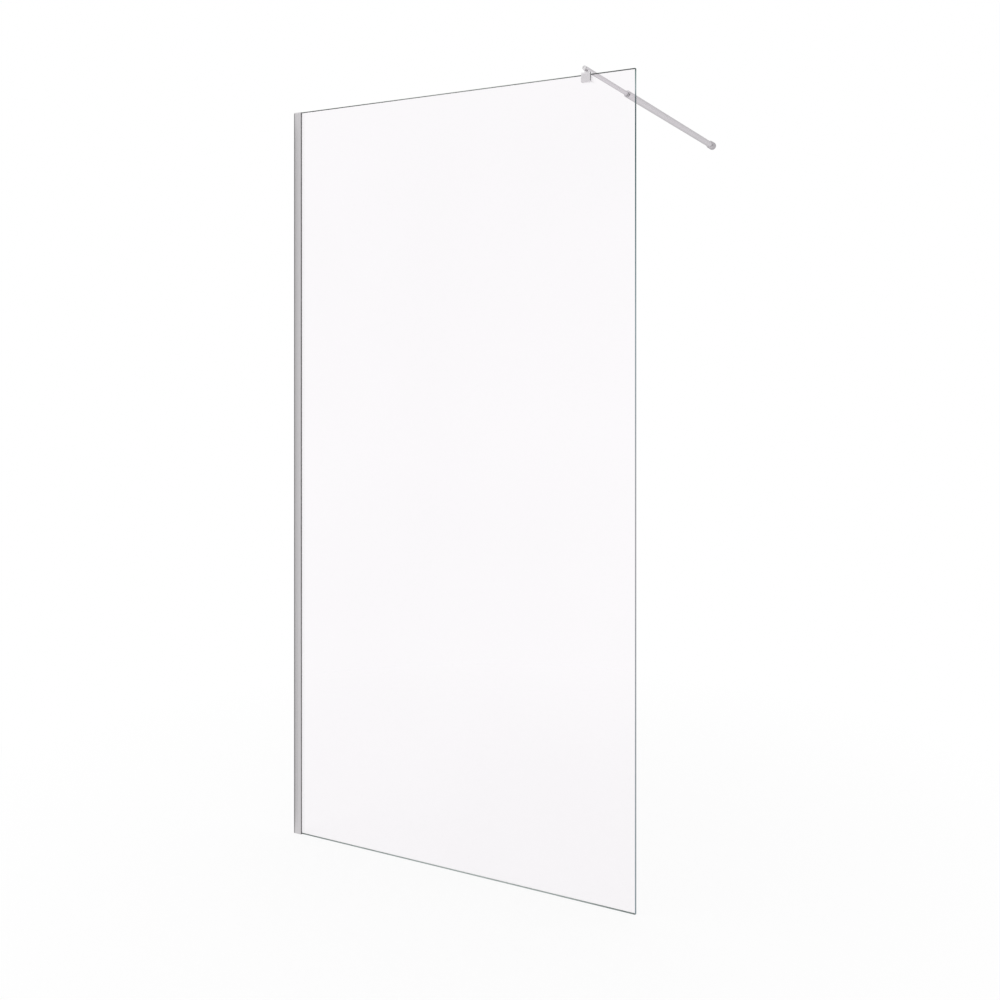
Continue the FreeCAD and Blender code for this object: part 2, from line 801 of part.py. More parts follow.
fill_sheet()
make_wall_channel()
make_channel_top_cap()
make_gasket("front_gasket", FRONT_MOUTH)
make_gasket("rear_gasket", REAR_MOUTH)
make_glass_panel()
make_clip_body()
make_clip_liner()
make_clip_pressure_plate()
make_clip_grub_screws()
make_saddle_screw()
make_rod_plug()
make_inner_rod()
make_rod_end_cap()
make_rod_guide_bush()
make_outer_tube()
make_mouth_collar()
make_mouth_bush()
make_tube_lock_screw()
make_wall_base()
make_base_grub_screw()
make_wall_rosette()
make_rosette_grip_ring()
doc.recompute()
check_document()
write_parts()
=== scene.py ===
"""Walk-in shower screen: the glass, the finishes and the studio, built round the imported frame."""

import logging
import math
from abc import ABC, abstractmethod
from dataclasses import dataclass, replace
from enum import Enum

import bmesh
import bpy
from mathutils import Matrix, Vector


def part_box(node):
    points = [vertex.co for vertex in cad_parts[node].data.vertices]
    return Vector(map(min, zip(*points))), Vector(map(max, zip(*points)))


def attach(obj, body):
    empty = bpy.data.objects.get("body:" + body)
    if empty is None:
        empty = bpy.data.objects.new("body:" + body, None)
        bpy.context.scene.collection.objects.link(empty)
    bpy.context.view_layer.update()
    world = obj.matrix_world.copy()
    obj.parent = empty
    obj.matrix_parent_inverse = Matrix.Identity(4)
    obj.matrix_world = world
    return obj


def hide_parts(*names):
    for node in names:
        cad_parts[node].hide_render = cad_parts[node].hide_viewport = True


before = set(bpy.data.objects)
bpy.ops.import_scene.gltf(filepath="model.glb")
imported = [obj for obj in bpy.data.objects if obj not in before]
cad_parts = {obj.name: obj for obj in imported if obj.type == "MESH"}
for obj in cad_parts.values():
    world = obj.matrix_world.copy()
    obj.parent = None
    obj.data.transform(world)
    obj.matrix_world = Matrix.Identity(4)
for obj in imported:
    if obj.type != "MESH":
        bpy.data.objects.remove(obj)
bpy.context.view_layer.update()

PANE_LOW, PANE_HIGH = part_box("glass_panel")
CHANNEL_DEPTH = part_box("wall_channel")[1].x
LOG = logging.getLogger("shower_screen")

MM = 0.001
WHITE = "#FFFFFF"

# Span that nearly all the values of a noise lie in
NOISE_SPAN = (0.3, 0.7)

# Socket numbers of the colour mixing node, whose socket names repeat
MIX_SHARE = 0
MIX_FIRST = 6
MIX_SECOND = 7
MIX_RESULT = 2

Inputs = dict[str | int, object]
Colour = str | bpy.types.NodeSocket


def linear(hex_colour: str) -> tuple[float, float, float, float]:
    """Turns an sRGB hex colour to linear light.

    Args:
        hex_colour: Colour such as "#C8C6C9".

    Returns:
        Red, green, blue and an alpha of 1.
    """
    channels = [int(hex_colour[i:i + 2], 16) / 255 for i in (1, 3, 5)]
    light = [c / 12.92 if c <= 0.04045 else ((c + 0.055) / 1.055) ** 2.4 for c in channels]
    return (*light, 1.0)


def add_object(name: str, data: bpy.types.ID) -> bpy.types.Object:
    """Adds a mesh, a lamp or a camera to the scene.

    Args:
        name: Name of the new object.
        data: Mesh, lamp or camera that it shows.

    Returns:
        The object.
    """
    made = bpy.data.objects.new(name, data)
    bpy.context.scene.collection.objects.link(made)
    return made


def empty_tree(owner: bpy.types.Material | bpy.types.World) -> bpy.types.NodeTree:
    """Gives a new material or world an empty node tree.

    Args:
        owner: The material or world.

    Returns:
        Its node tree.
    """
    owner.use_nodes = True
    owner.node_tree.nodes.clear()
    return owner.node_tree


def add_node(tree: bpy.types.NodeTree, kind: str, inputs: Inputs | None = None,
             **settings: object) -> bpy.types.Node:
    """Adds a node with its settings and links.

    Args:
        tree: Node tree that the node goes into.
        kind: Blender's name for the kind of node.
        inputs: Socket name or number to a value, or to an output socket to link from.
        **settings: Properties of the node itself.

    Returns:
        The new node.
    """
    node = tree.nodes.new(kind)
    for name, value in settings.items():
        setattr(node, name, value)
    for socket, value in (inputs or {}).items():
        if isinstance(value, bpy.types.NodeSocket):
            tree.links.new(value, node.inputs[socket])
        else:
            node.inputs[socket].default_value = value
    return node


def noise_of_size(tree: bpy.types.NodeTree, size: Vector, detail: float = 2.0) -> bpy.types.NodeSocket:
    """Lays noise over a piece with marks of a real size.

    Args:
        tree: Node tree of the material.
        size: Size of one mark along X, Y and Z, in metres.
        detail: How many finer layers lie on the marks.

    Returns:
        The noise, from 0 to 1.
    """
    place = add_node(tree, "ShaderNodeTexCoord")
    scaled = add_node(tree, "ShaderNodeMapping", {
        "Vector": place.outputs["Object"],
        "Scale": [1 / s for s in size],
    })
    noise = add_node(tree, "ShaderNodeTexNoise", {
        "Vector": scaled.outputs["Vector"],
        "Scale": 1.0,
        "Detail": detail,
    })
    return noise.outputs["Fac"]


def part_of(tree: bpy.types.NodeTree, source: str, axis: str,
            unsigned: bool = False) -> bpy.types.NodeSocket:
    """Reads one part of the place on a piece or of its normal.

    Args:
        tree: Node tree of the material.
        source: "Object" for the place, in metres, or "Normal".
        axis: "X", "Y" or "Z".
        unsigned: Whether the sign is dropped.

    Returns:
        That part of the place or normal.
    """
    place = add_node(tree, "ShaderNodeTexCoord")
    parts = add_node(tree, "ShaderNodeSeparateXYZ", {"Vector": place.outputs[source]})
    if not unsigned:
        return parts.outputs[axis]
    size = add_node(tree, "ShaderNodeMath", {0: parts.outputs[axis]}, operation="ABSOLUTE")
    return size.outputs["Value"]


def passage(tree: bpy.types.NodeTree, part: tuple[str, str], span: tuple[float, float],
            ends: tuple[float, float] = (0.0, 1.0), unsigned: bool = False) -> bpy.types.NodeSocket:
    """Passes from one number to another along a piece, or as its surface turns.

    Args:
        tree: Node tree of the material.
        part: "Object" or "Normal", and the axis, as in part_of.
        span: Place, in metres, or part of the normal at which the passage starts and ends.
        ends: Number at its start and at its end.
        unsigned: Whether the sign of the place or normal is dropped.

    Returns:
        The number.
    """
    stretch = add_node(tree, "ShaderNodeMapRange", {
        "Value": part_of(tree, *part, unsigned),
        "From Min": span[0],
        "From Max": span[1],
        "To Min": ends[0],
        "To Max": ends[1],
    })
    return stretch.outputs["Result"]


def two_tone(tree: bpy.types.NodeTree, pattern: bpy.types.NodeSocket, first: Colour, second: Colour,
             span: tuple[float, float] = NOISE_SPAN, depth: float = 1.0) -> bpy.types.NodeSocket:
    """Passes from one colour to another as a pattern runs through a span.

    Args:
        tree: Node tree of the material.
        pattern: Noise, place or share that the colours follow.
        first: Colour up to the start of the span.
        second: Colour that comes in towards its end.
        span: Values of the pattern between which the colour changes.
        depth: Share of the second colour at the end of the span.

    Returns:
        The colour.
    """
    share = add_node(tree, "ShaderNodeMapRange", {
        "Value": pattern,
        "From Min": span[0],
        "From Max": span[1],
        "To Min": 0.0,
        "To Max": depth,
    })
    mix = add_node(tree, "ShaderNodeMix", {
        MIX_SHARE: share.outputs["Result"],
        MIX_FIRST: linear(first) if isinstance(first, str) else first,
        MIX_SECOND: linear(second) if isinstance(second, str) else second,
    }, data_type="RGBA")
    return mix.outputs[MIX_RESULT]


class Grain(Enum):
    """Which way the marks of brushing, drawing or turning run on a piece."""

    ALONG_X = (True, False, False)
    ALONG_Y = (False, True, False)
    ALONG_Z = (False, False, True)
    ROUND_BAR = (True, False, True)
    EVERY_WAY = (False, False, False)

    def size(self, width: float, length: float) -> Vector:
        """Size of one mark along X, Y and Z, long where the grain runs."""
        return Vector(length if runs else width for runs in self.value)


@dataclass(frozen=True, kw_only=True)
class MarkedSurface(ABC):
    """A surface with fine marks in it, which becomes one node material.

    Attributes:
        name: Name of the material.
        mark_width: Width of one mark, in metres.
        mark_length: Length of one mark along the grain, in metres.
        relief: Height of the marks, in metres.
        rough: Lowest and highest roughness.
        grain: Which way the marks run.
        metallic: 1 for a metal and 0 for the rest.
        ior: Index of refraction of a material that isn't a metal.
        limb: How bright a metal stays where it turns away from the eye, from 0 to 1; below 1 it is painted
            shade along the silhouettes.
    """

    name: str
    mark_width: float
    mark_length: float
    relief: float
    rough: tuple[float, float]
    grain: Grain = Grain.EVERY_WAY
    metallic: float = 0.0
    ior: float = 1.5
    limb: float = 1.0

    def material(self) -> bpy.types.Material:
        """Makes the material the first time, and finds it after that.

        Returns:
            The material.
        """
        made = bpy.data.materials.get(self.name)
        if made is None:
            made = bpy.data.materials.new(self.name)
            self.paint(empty_tree(made))
        return made

    def paint(self, tree: bpy.types.NodeTree) -> None:
        """Lays the marks over the surface as colour, roughness and relief.

        Args:
            tree: Empty node tree of the material.
        """
        marks = noise_of_size(tree, self.grain.size(self.mark_width, self.mark_length))
        rough = add_node(tree, "ShaderNodeMapRange", {
            "Value": marks,
            "From Min": NOISE_SPAN[0],
            "From Max": NOISE_SPAN[1],
            "To Min": self.rough[0],
            "To Max": self.rough[1],
        })
        self.close(tree, {
            "Base Color": self.colour(tree, marks),
            "Roughness": rough.outputs["Result"],
            "Normal": self.raised(tree, marks),
        })

    @abstractmethod
    def colour(self, tree: bpy.types.NodeTree, marks: bpy.types.NodeSocket) -> bpy.types.NodeSocket:
        """Colours the surface.

        Args:
            tree: Node tree of the material.
            marks: Pattern of the marks.

        Returns:
            The colour.
        """

    def raised(self, tree: bpy.types.NodeTree, marks: bpy.types.NodeSocket) -> bpy.types.NodeSocket:
        """Raises the marks.

        Args:
            tree: Node tree of the material.
            marks: Pattern of the marks.

        Returns:
            The normal of the marked surface.
        """
        bump = add_node(tree, "ShaderNodeBump", {
            "Strength": 1.0,
            "Distance": self.relief,
            "Height": marks,
        })
        return bump.outputs["Normal"]

    def close(self, tree: bpy.types.NodeTree, inputs: Inputs) -> None:
        """Ends the tree in a surface shader.

        Args:
            tree: Node tree of the material.
            inputs: What the pattern feeds into the shader.
        """
        constants: Inputs = {"Metallic": self.metallic}
        if self.metallic:
            constants["Specular Tint"] = (self.limb, self.limb, self.limb, 1.0)
        else:
            constants["IOR"] = self.ior
        shader = add_node(tree, "ShaderNodeBsdfPrincipled", constants | inputs)
        add_node(tree, "ShaderNodeOutputMaterial", {"Surface": shader.outputs["BSDF"]})


@dataclass(frozen=True, kw_only=True)
class Finish(MarkedSurface):
    """A finish in two tones, which streak it along its marks and lie over it in broad patches.

    Attributes:
        dark: Colour in the hollows of the marks.
        light: Colour on the ridges of the marks.
        cloud: Size of the broad patches of tone, in metres.
        cloud_depth: How much the broad patches darken the colour.
    """

    dark: str
    light: str
    cloud: float = 90 * MM
    cloud_depth: float = 0.25

    def colour(self, tree: bpy.types.NodeTree, marks: bpy.types.NodeSocket) -> bpy.types.NodeSocket:
        """Colours the marks and lays broad patches of tone over them.

        Args:
            tree: Node tree of the material.
            marks: Pattern of the marks.

        Returns:
            The colour.
        """
        patches = noise_of_size(tree, Grain.EVERY_WAY.size(self.cloud, self.cloud))
        streaked = two_tone(tree, marks, self.dark, self.light)
        return two_tone(tree, patches, streaked, self.dark, depth=self.cloud_depth)


@dataclass(frozen=True, kw_only=True)
class PaintedRimFinish(Finish):
    """A finish with another colour painted on its rims and sides, and in a band across its faces: painted
    shade where that colour is darker, a painted highlight where it is lighter.

    Attributes:
        rim: Painted colour of the rims, the sides and the band, darker for painted shade and lighter for a
            painted highlight.
        faces: How squarely a surface faces front or rear where the rim is full and where it ends.
        band_axis: Axis across the band.
        band: Places along that axis where the band is full and where it ends, in metres.
        band_share: Share of the rim's colour in the band.
        bare_axis: Axis of the side that stays as the faces are.
        bare: How far a surface faces along that axis where the rim ends and where it is full.
    """

    rim: str
    faces: tuple[float, float] = (0.75, 0.97)
    band_axis: str
    band: tuple[float, float]
    band_share: float = 1.0
    bare_axis: str
    bare: tuple[float, float]

    def painted_rim_share(self, tree: bpy.types.NodeTree) -> bpy.types.NodeSocket:
        """Finds the rims, the sides and the band, where the painted colour goes.

        Args:
            tree: Node tree of the material.

        Returns:
            1 on a rim, the band's share in the band, and 0 on a face and on the bare side.
        """
        rims = passage(tree, ("Normal", "Y"), self.faces, (1.0, 0.0), unsigned=True)
        band = passage(tree, ("Object", self.band_axis), self.band, (self.band_share, 0.0))
        either = add_node(tree, "ShaderNodeMath", {0: rims, 1: band}, operation="MAXIMUM")
        reached = passage(tree, ("Normal", self.bare_axis), self.bare)
        share = add_node(tree, "ShaderNodeMath", {
            0: either.outputs["Value"],
            1: reached,
        }, operation="MINIMUM")
        return share.outputs["Value"]

    def colour(self, tree: bpy.types.NodeTree, marks: bpy.types.NodeSocket) -> bpy.types.NodeSocket:
        """Gives the rims, the sides and the band their painted colour of light or shade.

        Args:
            tree: Node tree of the material.
            marks: Pattern of the marks.

        Returns:
            The colour.
        """
        return two_tone(tree, self.painted_rim_share(tree), super().colour(tree, marks), self.rim, span=(0.0, 1.0))


@dataclass(frozen=True, kw_only=True)
class CrownedExtrusion(PaintedRimFinish):
    """An extruded finish on walls that stand a hair proud in the middle.

    Attributes:
        crown: Height of the middle of a wall over its two edges, in metres.
    """

    crown: float = 0.4 * MM

    def raised(self, tree: bpy.types.NodeTree, marks: bpy.types.NodeSocket) -> bpy.types.NodeSocket:
        """Raises the marks on a crowned wall.

        Args:
            tree: Node tree of the material.
            marks: Pattern of the marks.

        Returns:
            The normal of the marked and crowned surface.
        """
        across = passage(tree, ("Object", "X"), (0.0, CHANNEL_DEPTH), (-1.0, 1.0))
        fall = add_node(tree, "ShaderNodeMath", {0: across, 1: across}, operation="MULTIPLY")
        bump = add_node(tree, "ShaderNodeBump", {
            "Strength": 1.0,
            "Distance": self.crown,
            "Height": fall.outputs["Value"],
            "Normal": super().raised(tree, marks),
        }, invert=True)
        return bump.outputs["Normal"]


# Extruded aluminium, etched and anodised: a soft grey sheen with faint die lines up the profile,
# and painted shade on the mouth and the other faces that turn sideways, and in a band along the wall, but
# not on the side that lies against the wall.
# Real die lines are about 0.1 mm wide, and are drawn coarser here so that they show.
SATIN_ANODISED_ALUMINIUM = CrownedExtrusion(
    name="satin_anodised_aluminium",
    dark="#CBC9CB",
    light="#D5D3D5",
    rim="#7E7C7E",
    faces=(0.7, 0.985),
    band_axis="X",
    band=(2.4 * MM, 4.6 * MM),
    band_share=0.9,
    bare_axis="X",
    bare=(-0.97, -0.85),
    mark_width=0.9 * MM,
    mark_length=600 * MM,
    relief=0.004 * MM,
    rough=(0.26, 0.36),
    grain=Grain.ALONG_Z,
    metallic=1.0,
)

# Moulded plastic under satin plating: the sheen of metal over the soft ripple of a moulded skin.
SATIN_PLATED_PLASTIC = Finish(
    name="satin_plated_plastic",
    dark="#DEDCDE",
    light="#EAE8EA",
    mark_width=1.4 * MM,
    mark_length=1.4 * MM,
    relief=0.006 * MM,
    rough=(0.24, 0.33),
    metallic=1.0,
    cloud=30 * MM,
)

# Extruded soft PVC: near black and dull, with the drag lines of the die.
EXTRUDED_SOFT_PVC = Finish(
    name="extruded_soft_pvc",
    dark="#2A292B",
    light="#3A393B",
    mark_width=0.7 * MM,
    mark_length=120 * MM,
    relief=0.02 * MM,
    rough=(0.48, 0.66),
    grain=Grain.ALONG_Z,
    ior=1.53,
)

# Plain stainless screw steel: a little darker than the bar, with a rolled and tumbled skin.
TUMBLED_SCREW_STEEL = Finish(
    name="tumbled_screw_steel",
    dark="#8A8A8D",
    light="#A3A3A6",
    mark_width=0.5 * MM,
    mark_length=0.5 * MM,
    relief=0.006 * MM,
    rough=(0.26, 0.42),
    metallic=1.0,
    cloud=4 * MM,
)

# Turned aluminium, bare: bright, with the rings that the tool's feed leaves.
# A fine feed of 0.1 mm is drawn coarser here so that it shows.
TURNED_ALUMINIUM = Finish(
    name="turned_aluminium",
    dark="#B4B4B6",
    light="#D0D0D1",
    mark_width=0.4 * MM,
    mark_length=40 * MM,
    relief=0.008 * MM,
    rough=(0.22, 0.34),
    grain=Grain.ROUND_BAR,
    metallic=1.0,
    cloud=12 * MM,
)

# Moulded black acetal: dark and waxy, with the fine spark-eroded grain of the mould.
MOULDED_ACETAL = Finish(
    name="moulded_black_acetal",
    dark="#171718",
    light="#232324",
    mark_width=0.35 * MM,
    mark_length=0.35 * MM,
    relief=0.01 * MM,
    rough=(0.36, 0.5),
    ior=1.48,
    cloud=6 * MM,
)

# Moulded grey acetal: pale grey and waxy, with the same mould grain; the grey is made paler still as painted
# light against the shade where the rod enters the tube.
GREY_ACETAL = replace(MOULDED_ACETAL, name="moulded_grey_acetal", dark="#E6E6E8", light="#F0F0F2")

# Moulded nitrile rubber: black and matt, with a dusty bloom.
MOULDED_NITRILE = Finish(
    name="moulded_nitrile_rubber",
    dark="#141414",
    light="#262626",
    mark_width=0.5 * MM,
    mark_length=0.5 * MM,
    relief=0.015 * MM,
    rough=(0.62, 0.78),
    ior=1.52,
    cloud=5 * MM,
)

# Stainless steel brushed with a fine belt: an even silver grey with short hairlines along the bar.
# Hairlines of about 0.05 mm are drawn coarser here so that they show.
STEEL_ALONG_BAR = Finish(
    name="stainless_brushed_along",
    dark="#DCD8DC",
    light="#E6E2E6",
    mark_width=0.45 * MM,
    mark_length=45 * MM,
    relief=0.003 * MM,
    rough=(0.24, 0.34),
    grain=Grain.ALONG_Y,
    metallic=1.0,
    cloud=60 * MM,
    # A limb below 1 is painted shade where the steel turns away from the eye.
    limb=0.6,
)

# The same steel, turned: the hairlines run round the bar, and its deeper tone is painted shade.
STEEL_ROUND_BAR = replace(
    STEEL_ALONG_BAR,
    name="stainless_brushed_round",
    dark="#C0BCC0",
    light="#CCC8CC",
    grain=Grain.ROUND_BAR,
)

# The same steel, turned and left unpolished, with a softer sheen; its paler colour is painted light that
# lifts the collar's face at the tube's mouth.
STEEL_ROUND_COLLAR = replace(
    STEEL_ROUND_BAR,
    name="stainless_turned_collar",
    dark="#E0DCE0",
    light="#EAE6EA",
    rough=(0.46, 0.56),
)

# Cast stainless steel, brushed across its faces, with a painted highlight on its sides, its top and all of
# it above the pane's top edge, but not on faces turned down.
# The hairlines are drawn coarser here, as on the bar.
BRUSHED_CLIP_STEEL = PaintedRimFinish(
    name="stainless_brushed_across",
    dark="#D4D1D4",
    light="#DEDBDE",
    rim="#ECEAEC",
    band_axis="Z",
    band=(PANE_HIGH.z + 0.3 * MM, PANE_HIGH.z - 1.2 * MM),
    bare_axis="Z",
    bare=(-0.4, -0.2),
    mark_width=0.45 * MM,
    mark_length=45 * MM,
    relief=0.003 * MM,
    rough=(0.22, 0.3),
    grain=Grain.ALONG_X,
    metallic=1.0,
    cloud=60 * MM,
)


@dataclass(frozen=True, kw_only=True)
class TranslucentPvc(Finish):
    """Clear soft PVC: milky, it lets light through and blurs what lies behind.

    Attributes:
        clearness: Share of the light that passes through.
    """

    clearness: float = 0.45

    def close(self, tree: bpy.types.NodeTree, inputs: Inputs) -> None:
        """Ends the tree in a shader that passes light on.

        Args:
            tree: Node tree of the material.
            inputs: What the pattern feeds into the shader.
        """
        super().close(tree, inputs | {"Transmission Weight": self.clearness})


# Extruded clear PVC: colourless and milky, with faint drag lines along the strip.
CLEAR_PVC_LINER = TranslucentPvc(
    name="translucent_soft_pvc",
    dark="#C9CDCD",
    light="#DCE0E0",
    mark_width=0.6 * MM,
    mark_length=20 * MM,
    relief=0.01 * MM,
    rough=(0.3, 0.42),
    grain=Grain.ALONG_X,
    ior=1.53,
    cloud=8 * MM,
)


@dataclass(frozen=True)
class ClearFloatGlass:
    """Clear toughened float glass: faintly tinted, with the shallow waves of the toughening rollers.

    Attributes:
        name: Name of the material.
        tint: Colour of light that has passed through a thinner place.
        deep_tint: Colour of light that has passed through a denser place.
        tint_patch: Size of the patches of tint, in metres.
        roller_wave: Distance between two roller waves, in metres.
        wave_run: Length of a roller wave across the pane, in metres.
        wave_height: Height of a roller wave, in metres.
        ior: Index of refraction.
    """

    name: str = "clear_float_glass"
    tint: str = "#FCFAFC"
    deep_tint: str = "#FAF8FA"
    tint_patch: float = 700 * MM
    roller_wave: float = 280 * MM
    wave_run: float = 1120 * MM
    wave_height: float = 0.02 * MM
    ior: float = 1.52

    def material(self) -> bpy.types.Material:
        """Makes the material.

        Returns:
            The glass, which lets lamp light through to what stands behind it.
        """
        made = bpy.data.materials.new(self.name)
        tree = empty_tree(made)
        patches = noise_of_size(tree, Grain.EVERY_WAY.size(self.tint_patch, self.tint_patch))
        waves = noise_of_size(tree, Grain.ALONG_X.size(self.roller_wave, self.wave_run), detail=0.0)
        bump = add_node(tree, "ShaderNodeBump", {
            "Strength": 1.0,
            "Distance": self.wave_height,
            "Height": waves,
        })
        glass = add_node(tree, "ShaderNodeBsdfPrincipled", {
            "Base Color": two_tone(tree, patches, self.tint, self.deep_tint),
            "Roughness": 0.0,
            "IOR": self.ior,
            "Transmission Weight": 1.0,
            "Normal": bump.outputs["Normal"],
        })
        clear = add_node(tree, "ShaderNodeBsdfTransparent", {"Color": linear(self.tint)})
        rays = add_node(tree, "ShaderNodeLightPath")
        seen = add_node(tree, "ShaderNodeMixShader", {
            0: rays.outputs["Is Shadow Ray"],
            1: glass.outputs["BSDF"],
            2: clear.outputs["BSDF"],
        })
        add_node(tree, "ShaderNodeOutputMaterial", {"Surface": seen.outputs["Shader"]})
        return made


@dataclass(frozen=True)
class LineTone:
    """Colours along a level edge of the pane, painted light and shade.

    Attributes:
        end: Colour at both ends, painted shade.
        middle: Colour in the stretch between, paler with painted light where more light reaches.
    """

    end: str
    middle: str


@dataclass(frozen=True, kw_only=True)
class PolishedGlassEdge(MarkedSurface):
    """Polished edge of the pane: light that has run along the glass leaves it a greyish bottle green, and
    its tones by height and along the level edges are painted light and shade.

    Attributes:
        upright: Heights, in metres, and the colours painted on the upright edges there, as painted light and
            shade.
        top: Colours along the top edge.
        foot: Colours along the bottom edge, paler than the top's, painted light that lifts the shade on the
            bottom edge.
        near_fade: How far the end colour reaches in from the wall, in metres.
        far_fade: How far the end colour reaches in from the free side, in metres.
        turn: How far an edge faces along X where level passes to upright.
        shine: Strength of the edge's mirror image: none, since it would pale the edge seen through the pane.
    """

    name: str = "polished_glass_edge"
    mark_width: float = 6 * MM
    mark_length: float = 6 * MM
    relief: float = 0.004 * MM
    rough: tuple[float, float] = (0.08, 0.2)
    ior: float = 1.52
    upright: tuple[tuple[float, str], ...] = (
        (0.0, "#8E9EA4"),
        (0.9, "#B2B2B6"),
        (1.4, "#9AABB0"),
        (1.8, "#4E6C6D"),
        (1.93, "#5A6C70"),
        (1.95, "#A4B6B8"),
        (1.995, "#6E8C86"),
        (1.998, "#2A3E3A"),
    )
    top: LineTone = LineTone(end="#26342F", middle="#9AA09D")
    foot: LineTone = LineTone(end="#8A9894", middle="#BEC9C5")
    near_fade: float = 0.45
    far_fade: float = 0.22
    turn: tuple[float, float] = (0.4, 0.6)
    shine: float = 0.0

    def upright_painted_tone(self, tree: bpy.types.NodeTree) -> bpy.types.NodeSocket:
        """Paints light and shade on the upright edges by height.

        Args:
            tree: Node tree of the material.

        Returns:
            The colour.
        """
        ramp = add_node(tree, "ShaderNodeValToRGB", {
            "Fac": passage(tree, ("Object", "Z"), (0.0, PANE_HIGH.z)),
        })
        stops = ramp.color_ramp.elements
        while len(stops) < len(self.upright):
            stops.new(1.0)
        for stop, (height, tone) in zip(stops, self.upright):
            stop.position = height / PANE_HIGH.z
            stop.color = linear(tone)
        return ramp.outputs["Color"]

    def level_painted_tone(self, tree: bpy.types.NodeTree) -> bpy.types.NodeSocket:
        """Paints light and shade on the top and bottom edges by the distance from their ends.

        Args:
            tree: Node tree of the material.

        Returns:
            The colour.
        """
        along = part_of(tree, "Object", "X")
        near = (PANE_LOW.x, PANE_LOW.x + self.near_fade)
        far = (PANE_HIGH.x - self.far_fade, PANE_HIGH.x)
        foot, top = (
            two_tone(tree, along, two_tone(tree, along, line.end, line.middle, near), line.end, far)
            for line in (self.foot, self.top)
        )
        return two_tone(tree, part_of(tree, "Object", "Z"), foot, top, (0.0, PANE_HIGH.z))

    def colour(self, tree: bpy.types.NodeTree, marks: bpy.types.NodeSocket) -> bpy.types.NodeSocket:
        """Puts the colours of the upright and the level edges together.

        Args:
            tree: Node tree of the material.
            marks: Pattern of the marks, which leave the colour as it is.

        Returns:
            The colour, darkest and greenest towards the upper corners, where the painted shade is deepest.
        """
        turned = part_of(tree, "Normal", "X", unsigned=True)
        return two_tone(tree, turned, self.level_painted_tone(tree), self.upright_painted_tone(tree), self.turn)

    def close(self, tree: bpy.types.NodeTree, inputs: Inputs) -> None:
        """Ends the tree in a shader with the edge's own shine.

        Args:
            tree: Node tree of the material.
            inputs: What the pattern feeds into the shader.
        """
        super().close(tree, inputs | {"Specular IOR Level": self.shine})


def dress(node: str, finish: Finish) -> None:
    """Gives a piece of the frame its finish.

    Args:
        node: Name of the piece in the frame.
        finish: Finish that covers it.
    """
    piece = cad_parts[node]
    piece.data.materials.clear()
    piece.data.materials.append(finish.material())
    LOG.info("%s: %s", node, finish.name)


@dataclass(frozen=True)
class WallProfile:
    """The tall channel on the wall, its cap and the two gaskets that hold the pane."""

    channel: Finish = SATIN_ANODISED_ALUMINIUM
    cap: Finish = SATIN_PLATED_PLASTIC
    gasket: Finish = EXTRUDED_SOFT_PVC

    def build(self) -> None:
        """Dresses the channel, its cap and the gaskets."""
        dress("wall_channel", self.channel)
        dress("channel_top_cap", self.cap)
        for node in ("front_gasket", "rear_gasket"):
            dress(node, self.gasket)


@dataclass(frozen=True)
class GlassPane:
    """The pane, with ground arrises, dubbed corners and polished edges.

    Attributes:
        arris: Width of the small flat ground along the upright edges, in metres.
        level_arris: Height of the wider flat ground along the top and bottom edges, in metres.
        corner: Radius of the dubbed corners, in metres.
        corner_steps: Number of short sides round one corner.
    """

    arris: float = 0.6 * MM
    level_arris: float = 1.4 * MM
    corner: float = 0.5 * MM
    corner_steps: int = 5

    def outline(self, ground: float) -> list[tuple[float, float]]:
        """Runs once round the pane.

        Args:
            ground: How much of the arrises is ground away, from 0 to 1.

        Returns:
            Points along X and Z, in metres.
        """
        across = self.corner + self.arris * ground
        upward = self.corner + self.level_arris * ground
        centres = (
            (PANE_HIGH.x - across, PANE_HIGH.z - upward),
            (PANE_LOW.x + across, PANE_HIGH.z - upward),
            (PANE_LOW.x + across, PANE_LOW.z + upward),
            (PANE_HIGH.x - across, PANE_LOW.z + upward),
        )
        points = []
        for turn, (x, z) in enumerate(centres):
            for step in range(self.corner_steps + 1):
                angle = (turn + step / self.corner_steps) * math.pi / 2
                points.append((x + self.corner * math.cos(angle), z + self.corner * math.sin(angle)))
        return points

    def mesh(self) -> bpy.types.Mesh:
        """Skins the two faces, the arrises and the edge.

        Returns:
            A closed mesh whose second material covers the arrises and the edge.
        """
        rings = (
            (PANE_LOW.y, 1.0),
            (PANE_LOW.y + self.arris, 0.0),
            (PANE_HIGH.y - self.arris, 0.0),
            (PANE_HIGH.y, 1.0),
        )
        work = bmesh.new()
        loops = [
            [work.verts.new((x, y, z)) for x, z in self.outline(ground)]
            for y, ground in rings
        ]
        work.faces.new(loops[0])
        work.faces.new(reversed(loops[-1]))
        count = len(loops[0])
        for near, far in zip(loops, loops[1:]):
            for i in range(count):
                j = (i + 1) % count
                side = work.faces.new((near[i], far[i], far[j], near[j]))
                side.material_index = 1
        bmesh.ops.recalc_face_normals(work, faces=work.faces)
        mesh = bpy.data.meshes.new("pane")
        work.to_mesh(mesh)
        work.free()
        return mesh

    def build(self) -> None:
        """Puts the pane in the place of the frame's plain one."""
        pane = add_object("pane_with_polished_edges", self.mesh())
        pane.data.materials.append(ClearFloatGlass().material())
        pane.data.materials.append(PolishedGlassEdge().material())
        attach(pane, "pane")
        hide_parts("glass_panel")
        LOG.info("%s: clear faces and polished edges", pane.name)


@dataclass(frozen=True)
class GlassClip:
    """The clip that straddles the pane's top edge, with its liner, plate and screws."""

    body: Finish = BRUSHED_CLIP_STEEL
    liner: Finish = CLEAR_PVC_LINER
    plate: Finish = STEEL_ALONG_BAR
    screws: Finish = TUMBLED_SCREW_STEEL

    def build(self) -> None:
        """Dresses the clip and what it holds."""
        dress("clip_body", self.body)
        dress("clip_liner", self.liner)
        dress("clip_pressure_plate", self.plate)
        for node in ("clip_grub_screws", "saddle_screw"):
            dress(node, self.screws)


